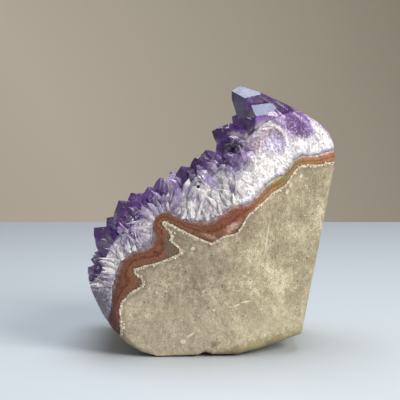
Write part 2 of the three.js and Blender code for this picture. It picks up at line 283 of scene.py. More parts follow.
# a long soft spot, 1 in its middle and 0 outside, at a place in mm
def spot(tree, position, wobble, centre, size, turn, ragged, inner):
    inputs = {
        "Vector": position,
        "Location": [c * mm for c in centre],
        "Rotation": (0, math.radians(turn), 0),
        "Scale": [s * mm for s in size],
    }
    mapped = addNode(tree, "ShaderNodeMapping", inputs, vector_type="TEXTURE").outputs[0]
    length = vectorCalc(tree, "LENGTH", mapped)
    return between(tree, calc(tree, "ADD", length, around(tree, wobble, ragged * 2)), 1.0, inner)


# paints a list of spots one over the other: centre, half sizes, turn, paint, strength, ragged edge
def painted(tree, position, colour, marks, palette):
    wobble = cloud(tree, position, 1.1 * mm, 2)
    for centre, size, turn, paint, strength, ragged in marks:
        inner = max(0.92 - ragged, 0.1)
        inside = spot(tree, position, wobble, centre, size, turn, ragged, inner)
        colour = blend(tree, calc(tree, "MULTIPLY", inside, strength), colour, palette[paint])
    return colour


def scatterTree():
    tree = bpy.data.node_groups.new("grownShapes", "GeometryNodeTree")
    sockets = tree.interface
    sockets.new_socket("Geometry", in_out="OUTPUT", socket_type="NodeSocketGeometry")
    sockets.new_socket("Geometry", in_out="INPUT", socket_type="NodeSocketGeometry")
    sockets.new_socket("Shape", in_out="INPUT", socket_type="NodeSocketObject")
    sockets.new_socket("Material", in_out="INPUT", socket_type="NodeSocketMaterial")
    for name in ("Density", "Least length", "Most length", "Least width", "Most width", "Tilt", "Sink"):
        sockets.new_socket(name, in_out="INPUT", socket_type="NodeSocketFloat")
    sockets.new_socket("Seed", in_out="INPUT", socket_type="NodeSocketInt")
    given = addNode(tree, "NodeGroupInput").outputs
    named = "GeometryNodeInputNamedAttribute"
    here = addNode(tree, named, {"Name": "here"}, data_type="FLOAT").outputs[0]
    grow = addNode(tree, named, {"Name": "grow"}, data_type="FLOAT_VECTOR").outputs[0]
    density = calc(tree, "MULTIPLY", given["Density"], here)
    points = addNode(
        tree,
        "GeometryNodeDistributePointsOnFaces",
        {"Mesh": given["Geometry"], "Density": density, "Seed": given["Seed"]},
        distribute_method="RANDOM",
    ).outputs["Points"]
    sink = vectorCalc(tree, "SCALE", grow, scale=given["Sink"])
    sunk = addNode(tree, "GeometryNodeSetPosition", {"Geometry": points, "Offset": sink}).outputs[0]

    # a random number or vector for each point, from its own step of the seed
    def chance(low, high, step, kind="FLOAT"):
        seed = calc(tree, "ADD", given["Seed"], step)
        made = addNode(tree, "FunctionNodeRandomValue", {"Seed": seed}, data_type=kind)
        first, output = (0, 0) if kind == "FLOAT_VECTOR" else (2, 1)
        setInputs(tree, made, {first: low, first + 1: high})
        return made.outputs[output]

    own = chance(0.0, 1.0, 1)
    marked = addNode(
        tree,
        "GeometryNodeStoreNamedAttribute",
        {"Geometry": sunk, "Name": "own", "Value": own},
        data_type="FLOAT",
        domain="POINT",
    ).outputs[0]
    aside = chance((-1, -1, -1), (1, 1, 1), 2, "FLOAT_VECTOR")
    aim = vectorCalc(tree, "ADD", grow, vectorCalc(tree, "SCALE", aside, scale=given["Tilt"]))
    fullTurn = (6.28, 6.28, 6.28)
    spin = addNode(tree, "FunctionNodeEulerToRotation", {0: chance((0, 0, 0), fullTurn, 3, "FLOAT_VECTOR")})
    inputs = {"Rotation": spin.outputs[0], "Vector": aim}
    turn = addNode(tree, "FunctionNodeAlignRotationToVector", inputs, axis="Z")
    width = chance(given["Least width"], given["Most width"], 4)
    other = calc(tree, "MULTIPLY", width, chance(0.7, 1.15, 5))
    length = chance(given["Least length"], given["Most length"], 6)
    scale = addNode(tree, "ShaderNodeCombineXYZ", {"X": width, "Y": other, "Z": length}).outputs[0]
    shape = addNode(tree, "GeometryNodeObjectInfo", {"Object": given["Shape"]}).outputs["Geometry"]
    inputs = {"Points": marked, "Instance": shape, "Rotation": turn.outputs[0], "Scale": scale}
    grown = addNode(tree, "GeometryNodeInstanceOnPoints", inputs).outputs[0]
    real = addNode(tree, "GeometryNodeRealizeInstances", {"Geometry": grown}).outputs[0]
    coated = addNode(tree, "GeometryNodeSetMaterial", {"Geometry": real, "Material": given["Material"]})
    tree.links.new(coated.outputs[0], addNode(tree, "NodeGroupOutput").inputs[0])
    return tree


grownShapes = scatterTree()


# scatters a shape over the places marked on a piece, and gives the result as a plain mesh
def scattered(host, name, here, grow, shape, material, settings, bury=0.0):
    carrier = newPiece(name + "Carrier", host.data.copy())
    moveCorners(carrier.data, cornersOf(carrier.data) - bury * normalsOf(carrier.data))
    storeValue(carrier.data, "here", here)
    storeVector(carrier.data, "grow", grow)
    modifier = carrier.modifiers.new("grownShapes", "NODES")
    modifier.node_group = grownShapes
    values = {**settings, "Shape": shape, "Material": material}
    for item in grownShapes.interface.items_tree:
        if item.item_type == "SOCKET" and item.in_out == "INPUT" and item.name in values:
            modifier[item.identifier] = values[item.name]
    piece = newPiece(name, evaluatedMesh(carrier))
    bpy.data.objects.remove(carrier)
    for extra in ("here", "grow"):
        if extra in piece.data.attributes:
            piece.data.attributes.remove(piece.data.attributes[extra])
    piece.data.shade_flat()
    return piece


# a quartz point of half width and length 1: six sides which end at two heights, and six end faces.
# rim is 0 along its edges and 1 in the middle of its faces
def pointShape(name, shoulders, tip=(0.12, 0.06, 1)):
    corners, faces = [], []
    for i in range(6):
        angle = i * math.pi / 3
        x, y = math.cos(angle), math.sin(angle)
        corners += [(x, y, 0), (x, y, shoulders[i % 2])]
    corners.append(tip)
    for i in range(6):
        low, high = 2 * i, 2 * i + 1
        nextLow, nextHigh = (low + 2) % 12, (high + 2) % 12
        faces += [(low, nextLow, nextHigh, high), (high, nextHigh, 12)]
    mesh = bpy.data.meshes.new(name)
    mesh.from_pydata(corners, [], faces)
    bm = bmesh.new()
    bm.from_mesh(mesh)
    rim = bm.verts.layers.float.new("rim")
    for vertex in bmesh.ops.poke(bm, faces=bm.faces)["verts"]:
        vertex[rim] = 1
    bmesh.ops.contextual_create(bm, geom=[edge for edge in bm.edges if edge.is_boundary])
    bmesh.ops.recalc_face_normals(bm, faces=bm.faces)
    bm.to_mesh(mesh)
    bm.free()
    return newPiece(name, mesh)


# a crumb about 1 wide
def crumbShape(roughness=0.28):
    bm = bmesh.new()
    bmesh.ops.create_icosphere(bm, subdivisions=1, radius=0.5)
    for i, vertex in enumerate(bm.verts):
        vertex.co *= 1 + roughness * math.sin(7.3 * i)
    mesh = bpy.data.meshes.new("crumbShape")
    bm.to_mesh(mesh)
    bm.free()
    return newPiece("crumbShape", mesh)


pointMould = pointShape("stoutPoint", (0.70, 0.80))
leafMould = pointShape("slenderPoint", (0.32, 0.5))
crumbMould = crumbShape()

bandSurface = surfaceOf(["jasper_band"])
basaltSurface = surfaceOf(["basalt_matrix"])
bedSurface = surfaceOf(["quartz_layer"])
crystalSurface = surfaceOf(crystalNodes)


basaltSizes = {
    "voxel": 0.7 * mm,
    "smoothing": 1,
    "grain": (1.4 * mm, 0.26 * mm),  # size and height of the sawn face's unevenness
    "swell": (9 * mm, 0.4 * mm),
    "notch": (-2.4 * mm, 2.6 * mm, 1.9 * mm),  # chipped place in the lower edge: x, half width and height
    "notchSlope": 1.5,
    "notchDepth": -24 * mm,  # only in front of this y
    "patches": 14 * mm,
    "mottle": 1.9 * mm,
    "fine": 0.55 * mm,
    "streaks": 5 * mm,
    # scattered specks: spacing in mm, half width as a share of it, share of places left out, colour
    "specks": [(1.9, 0.15, 0.82, "speck"), (1.3, 0.2, 0.8, "dark"), (2.3, 0.13, 0.82, "cream")],
}

basaltColours = {
    "grey": (0.40, 0.335, 0.225),
    "tan": (0.365, 0.315, 0.195),
    "dark": (0.18, 0.145, 0.095),
    "speck": (0.05, 0.036, 0.025),
    "cream": (0.66, 0.58, 0.43),
    "rind": (0.68, 0.58, 0.45),
    "stain": (0.27, 0.235, 0.10),
    "olive": (0.17, 0.13, 0.06),
}

# pale flecks and veins on the sawn face: centre in mm, half sizes in mm, turn in degrees
basaltFlecks = [
    ((-6.2, -30, 44.3), (1.6, 6, 0.7), 35),
    ((-7.0, -30, 40.8), (1.0, 6, 0.9), -20),
    ((-7.8, -30, 8.5), (2.6, 6, 0.5), -38),
    ((-10.6, -30, 6.0), (1.3, 6, 1.1), 0),
    ((12.6, -30, 20.8), (2.6, 6, 0.35), -6),
    ((9.2, -30, 19.6), (1.5, 6, 0.45), -25),
    ((0.8, -30, 17.9), (0.7, 6, 0.6), 0),
    ((20.4, -30, 44.0), (0.2, 6, 9.0), 8),
    ((22.0, -30, 60.0), (1.5, 6, 2.6), 5),
    ((-20.4, -30, 24.4), (0.7, 6, 0.4), 30),
    ((-16.8, -30, 24.9), (0.6, 6, 0.4), -20),
    ((-3.0, -30, 25.0), (0.8, 6, 0.4), -30),
    ((-33.4, -28, 18.2), (1.2, 6, 3.2), 5),
    ((-35.0, -28, 21.8), (1.0, 6, 1.0), 0),
    ((28.4, -27, 66.5), (1.0, 8, 1.4), 20),
    ((31.0, -26, 69.0), (1.6, 8, 0.7), 10),
    ((38.2, -23, 70.0), (2.2, 8, 0.6), 5),
    ((31.6, -28, 24.5), (1.6, 8, 1.0), 0),
    ((26.6, -27, 69.2), (1.2, 8, 0.8), 0),
    ((33.4, -26, 66.6), (1.4, 8, 0.7), -50),
    ((29.4, -27, 63.6), (0.9, 8, 1.6), 10),
    ((35.6, -25, 71.2), (1.6, 8, 0.5), 30),
    ((30.0, -27, 70.0), (0.9, 8, 0.9), 0),
    ((24.4, -27, 61.8), (1.8, 8, 0.6), -40),
    ((28.0, -27, 61.0), (0.7, 8, 1.2), 20),
]

# darker damp-looking places, the same way
basaltShades = [
    ((-15.6, -30, 47.8), (4.2, 6, 2.4), 45),
    ((-12.5, -30, 45.0), (5.0, 6, 1.2), 30),
    ((-27.5, -30, 29.5), (3.4, 6, 2.2), 20),
    ((25.8, -28, 67.4), (3.0, 8, 1.6), -38),
    ((30.4, -27, 68.0), (5.0, 8, 2.6), -30),
    ((27.4, -27, 63.4), (3.2, 8, 1.2), -50),
    ((34.0, -26, 69.4), (4.0, 8, 1.0), 0),
    ((21.0, -28, 62.8), (2.6, 8, 1.0), -40),
    ((33.0, -26, 14.5), (3.2, 8, 2.2), 20),
    ((-2.4, -30, 1.2), (2.2, 6, 1.6), 0),
    ((1.0, -30, 5.0), (2.6, 6, 2.2), -50),
]


def basaltMaterial():
    c = basaltColours
    material, tree, shader = newMaterial("basalt")
    position = place(tree)
    split = addNode(tree, "ShaderNodeSeparateXYZ", {"Vector": position})
    patches = cloud(tree, position, basaltSizes["patches"], 5, 0.6)
    mottle = cloud(tree, position, basaltSizes["mottle"], 5, 0.7)
    fine = cloud(tree, position, basaltSizes["fine"], 3, 0.75)
    upright = vectorCalc(tree, "MULTIPLY", position, (1, 1, 0.3))
    streaks = cloud(tree, upright, basaltSizes["streaks"], 4, 0.6)
    side = between(tree, calc(tree, "ADD", split.outputs["X"], around(tree, patches, 0.03)), -0.004, 0.026)
    colour = blend(tree, side, c["grey"], c["tan"])
    colour = blend(tree, between(tree, patches, 0.40, 0.56, 0.5, 0), colour, c["dark"])
    colour = blend(tree, between(tree, patches, 0.54, 0.66, 0, 0.45), colour, c["cream"])
    colour = blend(tree, between(tree, streaks, 0.5, 0.7, 0, 0.35), colour, c["cream"])
    colour = blend(tree, between(tree, mottle, 0.53, 0.33, 0, 0.65), colour, c["dark"])
    colour = blend(tree, between(tree, mottle, 0.55, 0.74, 0, 0.65), colour, c["cream"])
    colour = shaded(tree, colour, fine, 0.28, 0.72, 0.55, 1.42)
    for size, reach, share, paint in basaltSizes["specks"]:
        spots = calc(tree, "LESS_THAN", grains(tree, position, size * mm).outputs["Distance"], reach)
        picked = calc(tree, "GREATER_THAN", perGrain(tree, position, size * mm), share)
        colour = blend(tree, calc(tree, "MULTIPLY", spots, picked), colour, c[paint])
    # painted light: the basalt turns paler towards the base, as if lit by light bounced up from the table
    colour = blend(tree, between(tree, split.outputs["Z"], 0.03, 0.004, 0, 0.25), colour, c["cream"])
    shades = [(*shade, "dark", 0.8, 0.7) for shade in basaltShades]
    flecks = [(*fleck, "cream", 0.85, 0.3) for fleck in basaltFlecks]
    colour = painted(tree, position, colour, shades + flecks, c)
    # yellow-green stain on the worn lower edge, at the right
    slope = calc(tree, "SUBTRACT", split.outputs["Z"], calc(tree, "MULTIPLY", split.outputs["X"], 0.2))
    low = between(tree, calc(tree, "ADD", slope, around(tree, mottle, 0.012)), 0.0045, 0.001)
    right = between(tree, split.outputs["X"], -0.004, 0.006)
    stain = blend(tree, between(tree, patches, 0.42, 0.6), c["olive"], c["stain"])
    colour = blend(tree, calc(tree, "MULTIPLY", calc(tree, "MULTIPLY", low, right), 0.75), colour, stain)
    # the crusty rind beside the band, with a dark crack where it has parted
    rind = stored(tree, "rind")
    crumbs = cloud(tree, position, 1.1 * mm, 3, 0.7)
    frayed = calc(tree, "ADD", rind, around(tree, crumbs, 1.6))
    colour = blend(tree, between(tree, frayed, 3.4, 1.4, 0, 0.45), colour, c["dark"])
    colour = blend(tree, between(tree, frayed, 1.3, 0.9, 0, 0.9), colour, c["rind"])
    parted = between(tree, patches, 0.45, 0.6, 0.15, 0.85)
    crack = calc(tree, "MULTIPLY", between(tree, frayed, 0.4, 0.2), parted)
    colour = blend(tree, crack, colour, c["speck"])
    roughness = between(tree, mottle, 0.3, 0.7, 0.6, 0.9, "LINEAR")
    height = calc(tree, "ADD", fine, calc(tree, "MULTIPLY", mottle, 1.4))
    normal = bump(tree, height, 0.16 * mm, 0.9)
    setInputs(tree, shader, {"Base Color": colour, "Roughness": roughness, "Normal": normal})
    return material


def makeBasalt():
    piece = mergedCopy("basalt_matrix", "basaltStone")
    remesh(piece, basaltSizes["voxel"], basaltSizes["smoothing"])
    roughen(piece, "CLOUDS", *basaltSizes["swell"])
    roughen(piece, "CLOUDS", *basaltSizes["grain"])
    corners = cornersOf(piece.data)
    notchAt, notchWide, notchHigh = basaltSizes["notch"]
    chipped = np.clip(1 - np.abs(corners[:, 0] - notchAt) / notchWide, 0, 1)
    chipped *= corners[:, 1] < basaltSizes["notchDepth"]
    corners[:, 2] += chipped * np.clip(notchHigh - corners[:, 2], 0, notchHigh)
    corners[:, 1] += chipped * np.clip(notchHigh * basaltSizes["notchSlope"] - corners[:, 2], 0, notchHigh)
    corners[:, 2] = np.maximum(corners[:, 2], 0)  # the sawn base stays flat
    corners[:, 1] = np.clip(corners[:, 1], cadBox[0].y, cadBox[1].y)
    moveCorners(piece.data, corners)
    _, away = nearestOn(bandSurface, corners)
    storeValue(piece.data, "rind", away / mm)
    finishPiece(piece, basaltMaterial(), "basalt", "basalt_matrix")
    return piece


basaltStone = makeBasalt()
print("basalt:", len(basaltStone.data.polygons), "faces")

# pale crumbs of the rind, which stand up along the seam
crumbSizes = {
    "Density": 3.6e6,
    "Least length": 0.3 * mm,
    "Most length": 0.7 * mm,
    "Least width": 0.4 * mm,
    "Most width": 1.0 * mm,
    "Tilt": 1.0,
    "Sink": 0.05 * mm,
    "Seed": 4,
}
crumbZone = {"from": 0.35 * mm, "to": 1.1 * mm, "facing": 0.5}  # distances from the band, on the cut sides
crumbTones = [(0.0, (0.30, 0.22, 0.15)), (0.25, (0.60, 0.50, 0.37)), (0.6, (0.80, 0.71, 0.57))]


def rindMaterial():
    material, tree, shader = newMaterial("rind")
    position = place(tree)
    ownTone = calc(tree, "MULTIPLY", stored(tree, "own"), 0.6)
    tone = calc(tree, "ADD", ownTone, around(tree, cloud(tree, position, 2 * mm), 0.9))
    colour = ramp(tree, tone, crumbTones)
    normal = bump(tree, cloud(tree, position, 0.4 * mm), 0.1 * mm)
    setInputs(tree, shader, {"Base Color": colour, "Roughness": 0.75, "Normal": normal})
    return material


def makeCrumbs():
    mesh = basaltStone.data
    corners, normals = cornersOf(mesh), normalsOf(mesh)
    _, away = nearestOn(bandSurface, corners)
    here = (away > crumbZone["from"]) & (away < crumbZone["to"])
    here &= np.abs(normals[:, 1]) > crumbZone["facing"]
    piece = scattered(basaltStone, "rindCrumbs", here, normals, crumbMould, rindMaterial(), crumbSizes)
    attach(piece, "root")
    return piece


rindCrumbs = makeCrumbs()
print("rind crumbs:", len(rindCrumbs.data.polygons), "faces")


jasperSizes = {
    "voxel": 0.55 * mm,
    "smoothing": 2,
    "grain": (1.2 * mm, 0.12 * mm),
    "gap": 0.5 * mm,
    "waver": 2.2 * mm,
    "fine": 0.6 * mm,
}

# its layers, from the basalt at 0 to the quartz at 1
jasperLayers = [
    (0.0, (0.13, 0.085, 0.055)),
    (0.08, (0.19, 0.12, 0.075)),
    (0.3, (0.25, 0.115, 0.06)),
    (0.42, (0.12, 0.05, 0.03)),
    (0.58, (0.24, 0.10, 0.055)),
    (0.72, (0.17, 0.08, 0.055)),
    (0.88, (0.24, 0.18, 0.18)),
    (1.0, (0.40, 0.36, 0.40)),
]

# the tint that changes along its course, from its left end to its right one
jasperCourse = [
    (0.02, (0.35, 0.22, 0.22)),
    (0.10, (0.80, 0.62, 0.55)),
    (0.34, (0.80, 0.70, 0.62)),
    (0.46, (0.85, 0.68, 0.58)),
    (0.58, (0.92, 0.52, 0.38)),
    (0.68, (1.2, 1.25, 0.9)),
    (0.76, (0.9, 1.15, 0.7)),
    (0.84, (1.3, 1.3, 0.9)),
    (1.0, (1.35, 1.1, 0.9)),
]

jasperPaints = {
    "pocket": (0.12, 0.10, 0.07),
    "maroon": (0.13, 0.05, 0.045),
    "amber": (0.42, 0.27, 0.10),
    "olive": (0.17, 0.135, 0.05),
    "buff": (0.40, 0.31, 0.23),
}

# pockets and coloured places in it: centre and half sizes in mm, turn, paint, strength, ragged edge
jasperMarks = [
    ((-15.6, -29, 41.5), (2.6, 8, 3.6), 0, "pocket", 0.9, 0.4),
    ((-14.5, -29, 38.6), (2.6, 8, 1.2), -20, "pocket", 0.8, 0.4),
    ((-35.5, -28, 16.0), (2.0, 9, 6.0), 10, "maroon", 0.7, 0.5),
    ((7.4, -29, 48.6), (5.4, 8, 1.9), -40, "buff", 0.85, 0.7),
    ((-1.0, -29, 45.4), (5.0, 8, 1.2), 25, "buff", 0.6, 0.7),
    ((26.8, -27, 66.6), (3.4, 8, 1.8), -48, "olive", 0.85, 0.6),
    ((24.0, -27, 65.6), (2.6, 8, 0.7), -38, "amber", 0.8, 0.5),
    ((38.0, -25, 73.2), (5.0, 9, 0.6), 4, "amber", 0.6, 0.5),
]


def jasperMaterial():
    material, tree, shader = newMaterial("jasper")
    position = place(tree)
    split = addNode(tree, "ShaderNodeSeparateXYZ", {"Vector": position})
    across = stored(tree, "across")
    waver = cloud(tree, position, jasperSizes["waver"], 4, 0.6)
    layers = ramp(tree, calc(tree, "ADD", across, around(tree, waver, 0.7)), jasperLayers)
    along = between(tree, split.outputs["X"], -0.040, 0.048, 0, 1, "LINEAR")
    course = ramp(tree, calc(tree, "ADD", along, around(tree, waver, 0.12)), jasperCourse)
    colour = blend(tree, 1.0, layers, course, "MULTIPLY")
    colour = painted(tree, position, colour, jasperMarks, jasperPaints)
    fine = cloud(tree, position, jasperSizes["fine"], 3, 0.7)
    colour = shaded(tree, colour, fine, 0.3, 0.7, 0.6, 1.45)
    roughness = between(tree, fine, 0.3, 0.7, 0.28, 0.6, "LINEAR")
    normal = bump(tree, calc(tree, "ADD", fine, waver), 0.12 * mm, 0.7)
    setInputs(tree, shader, {"Base Color": colour, "Roughness": roughness, "Normal": normal})
    setInputs(tree, shader, {"Specular IOR Level": 0.3})
    return material


def makeJasper():
    piece = mergedCopy("jasper_band", "jasperBand")
    remesh(piece, jasperSizes["voxel"], jasperSizes["smoothing"])
    roughen(piece, "CLOUDS", *jasperSizes["grain"])
    corners = closeGap(cornersOf(piece.data), basaltSurface, jasperSizes["gap"])
    corners = closeGap(corners, bedSurface, jasperSizes["gap"])
    moveCorners(piece.data, corners)
    _, fromBasalt = nearestOn(basaltSurface, corners)
    _, fromBed = nearestOn(bedSurface, corners)
    storeValue(piece.data, "across", fromBasalt / np.maximum(fromBasalt + fromBed, tiny))
    finishPiece(piece, jasperMaterial(), "jasper", "jasper_band")
    return piece


jasperBand = makeJasper()
print("jasper band:", len(jasperBand.data.polygons), "faces")


quartzIor = 1.544
bedSizes = {"voxel": 0.55 * mm, "smoothing": 1, "sugar": (1.1 * mm, 0.3 * mm), "gap": 0.27 * mm}

# how wide the parts of the quartz are that differ in colour
quartzGrain = {
    "drift": 5 * mm,
    "block": 4.2 * mm,
    "clear": 1.5 * mm,
    "needle": 0.8 * mm,
    "streak": 0.8 * mm,
    "sugar": 0.6 * mm,
}

quartzColours = {
    "chalcedony": (0.27, 0.235, 0.32),
    "white": (0.84, 0.80, 0.79),
    "frost": (0.62, 0.58, 0.66),
    "milky": (0.52, 0.46, 0.54),
    "lilac": (0.44, 0.33, 0.58),
    "violet": (0.24, 0.13, 0.38),
    "deep": (0.11, 0.045, 0.17),
    "wine": (0.17, 0.08, 0.21),
    "pink": (0.56, 0.43, 0.50),
    "cream": (0.82, 0.76, 0.72),
    "haze": (0.60, 0.56, 0.76),
    "earth": (0.34, 0.27, 0.27),
    # dark quartz of the lower left side, which also carries painted shade
    "skirt": (0.20, 0.165, 0.20),
}

amethystColours = {
    **quartzColours,
    "milky": (0.60, 0.53, 0.66),
    "lilac": (0.54, 0.38, 0.70),
    "violet": (0.31, 0.14, 0.49),
    "deep": (0.085, 0.03, 0.15),
    # painted highlight for the bevelled crystal edges
    "worn": (0.70, 0.62, 0.76),
    # painted reflection of the sky, for the upper faces marked below
    "sky": (0.21, 0.25, 0.41),
}

# what the cut side shows of single crystals, veins and clear spots, painted one over the other:
# centre and half sizes in mm, turn in degrees, paint, strength, ragged edge
quartzMarks = [
    # partly dark quartz, partly painted shade: the lower left side under the overhang is painted dark as the
    # side turned away from the light
    ((-42.0, 0, 17.0), (8.5, 90, 15.0), 0, "skirt", 0.85, 0.4),
    ((-42.2, -24, 28.2), (2.2, 8, 2.0), 0, "pink", 0.7, 0.3),
    ((-23.4, -29, 42.4), (4.6, 8, 2.4), -35, "chalcedony", 0.9, 0.4),
    ((-21.0, -29, 46.0), (1.4, 8, 4.0), 10, "chalcedony", 0.8, 0.4),
    ((-33.6, -28, 31.0), (2.2, 8, 2.2), 0, "chalcedony", 0.9, 0.4),
    ((1.0, -29, 56.5), (6.5, 8, 5.0), -20, "pink", 0.5, 0.7),
    ((3.0, -29, 47.6), (7.0, 8, 2.0), -25, "earth", 0.7, 0.6),
    ((-5.0, -29, 46.8), (5.0, 8, 1.4), 15, "frost", 0.6, 0.6),
    ((-8.5, -26, 68.2), (5.4, 9, 4.0), -25, "deep", 0.65, 0.5),
    ((-29.4, -25, 54.2), (5.4, 9, 4.4), -25, "deep", 0.6, 0.5),
    ((1.2, -27, 67.4), (5.2, 8, 4.6), -20, "frost", 0.6, 0.6),
    ((-36.2, -24, 52.4), (1.7, 8, 2.4), 0, "pink", 0.8, 0.3),
    ((2.4, -22, 83.2), (5.4, 16, 3.6), 0, "deep", 0.8, 0.4),
    ((7.0, -24, 77.8), (6.0, 16, 3.4), 0, "deep", 0.8, 0.5),
    ((-5.0, -22, 74.0), (6.5, 16, 3.4), -30, "deep", 0.75, 0.5),
    ((-40.0, -22, 47.0), (4.6, 12, 6.5), 0, "wine", 0.7, 0.5),
    ((-44.0, -24, 33.0), (3.6, 12, 3.4), 0, "wine", 0.8, 0.4),
    ((9.2, -26, 82.0), (4.4, 12, 1.7), 10, "cream", 0.85, 0.7),
    ((10.0, -20, 91.5), (4.0, 14, 5.0), 0, "violet", 0.6, 0.5),
    ((9.4, -22, 93.0), (1.0, 14, 3.4), -12, "pink", 0.7, 0.6),
    ((13.6, -24, 90.0), (1.6, 14, 3.6), 20, "wine", 0.8, 0.5),
    ((21.0, -26, 94.5), (6.5, 14, 1.9), 22, "wine", 0.5, 0.4),
    ((18.0, -26, 94.4), (1.8, 14, 0.8), 0, "pink", 0.7, 0.5),
    ((21.5, -26, 94.2), (5.5, 16, 0.5), 30, "pink", 0.8, 0.4),
    ((25.5, -26, 93.6), (4.5, 16, 0.4), 34, "frost", 0.7, 0.4),
    ((11.5, -24, 92.0), (0.6, 16, 3.6), -8, "frost", 0.5, 0.5),
    ((26.9, -24, 92.6), (4.6, 12, 0.7), 32, "pink", 0.85, 0.4),
    ((30.6, -24, 91.6), (5.0, 12, 0.5), 34, "cream", 0.7, 0.5),
    ((25.6, -24, 89.8), (3.4, 12, 0.5), 40, "cream", 0.6, 0.5),
    ((32.6, -23, 88.6), (5.6, 12, 0.8), 38, "pink", 0.8, 0.6),
    ((32.4, -24, 84.6), (7.4, 22, 3.6), 36, "deep", 0.9, 0.4),
    ((30.0, -23, 81.6), (4.0, 14, 0.5), 44, "pink", 0.7, 0.5),
    ((39.6, -20, 85.2), (9.0, 18, 1.9), 50, "cream", 0.8, 0.8),
    ((24.6, -26, 86.0), (5.0, 14, 1.6), 35, "deep", 0.7, 0.5),
    ((10.6, -26, 79.0), (2.6, 14, 4.6), 10, "deep", 0.6, 0.5),
    ((20.2, -26, 80.0), (8.9, 14, 7.4), 6, "cream", 0.95, 0.1),
    ((20.2, -26, 79.2), (8.1, 14, 7.2), 6, "wine", 0.75, 0.12),
    ((20.4, -26, 79.0), (7.6, 14, 6.4), 6, "pink", 0.75, 0.5),
    ((16.4, -26, 82.6), (2.6, 14, 1.3), -30, "frost", 0.85, 0.4),
    ((19.6, -26, 84.6), (3.4, 14, 0.4), -6, "cream", 0.7, 0.3),
    ((24.6, -26, 82.8), (2.8, 14, 0.9), 42, "wine", 0.7, 0.5),
    ((18.0, -26, 69.8), (16.0, 14, 8.4), -22, "white", 1.0, 0.6),
    ((22.6, -26, 79.0), (6.0, 14, 5.0), 0, "haze", 0.85, 0.8),
    ((26.0, -26, 79.4), (5.6, 14, 0.5), 42, "lilac", 0.75, 0.4),
    ((24.0, -26, 77.6), (5.4, 14, 0.45), 55, "lilac", 0.7, 0.4),
    ((20.0, -26, 78.0), (4.8, 14, 0.4), 80, "lilac", 0.6, 0.4),
    ((22.0, -26, 78.0), (5.0, 14, 0.4), 68, "white", 0.9, 0.4),
    ((17.6, -26, 77.0), (4.6, 14, 0.35), 100, "white", 0.9, 0.4),
    ((34.6, -22, 79.6), (5.0, 16, 0.5), 48, "pink", 0.6, 0.5),
    ((37.6, -22, 83.4), (5.0, 16, 0.5), 55, "earth", 0.5, 0.5),
    ((29.0, -22, 78.0), (4.0, 16, 0.5), 50, "haze", 0.7, 0.5),
    ((-17.4, -26, 64.8), (0.4, 9, 2.4), 4, "white", 0.9, 0.15),
    ((-16.1, -26, 64.4), (0.35, 9, 2.2), -5, "white", 0.9, 0.15),
    ((-19.0, -26, 63.6), (0.35, 9, 1.8), 8, "frost", 0.9, 0.15),
]

bedDepth = 14 * mm  # further than this from the band, even the bed is coloured as crystals are
softEdge = 1.4  # a shift fades out between 0.4 and 1.4 radii

# where the colour starts further in or further out than elsewhere: centre in mm, radius and shift in mm
colourShifts = [
    ((20, -25, 67), 10, -8),
    ((33, -20, 77), 8, -8),
    ((-1, -28, 62), 6, -3),
    ((1, -27, 68), 4, -4),
    ((23, -27, 81), 6, -3),
    ((10, -26, 73), 7, 8),
    ((33, -22, 85), 6, 12),
    ((-8.5, -25, 67), 6, 6),
    ((-29, -26, 54), 7, 5),
    ((27, -18, 92), 6, 8),
    ((-41, -25, 22), 10, 9),
    ((-31, -28, 46), 7, 4),
    ((-34, -28, 36), 7, 3),
    ((-5, -22, 74), 6, 6),
    ((20, -26, 84), 6, -5),
]


# how far out of the bed a corner stands in mm, below 0 inside it, and where on the band its crystal started
def storeGrowth(mesh):
    corners = cornersOf(mesh)
    roots, fromBand = nearestOn(bandSurface, corners)
    outOfBed = nearestOn(bedSurface, corners)[1] - nearestOn(crystalSurface, corners)[1]
    growth = np.maximum(outOfBed, fromBand - bedDepth) / mm
    for centre, radius, shift in colourShifts:
        away = np.linalg.norm(corners / mm - np.array(centre), axis=1) / radius
        growth += shift * np.clip(softEdge - away, 0, 1)
    storeValue(mesh, "growth", growth)
    storeValue(mesh, "fromBand", fromBand / mm)
    storeVector(mesh, "root", roots)


# crystals stand on the band, so their pattern is drawn out away from it
def columnCoordinates(tree, stretch):
    root = vectorCalc(tree, "SCALE", stored(tree, "root", "Vector"), scale=1 - 1 / stretch)
    return vectorCalc(tree, "ADD", root, vectorCalc(tree, "SCALE", place(tree), scale=1 / stretch))


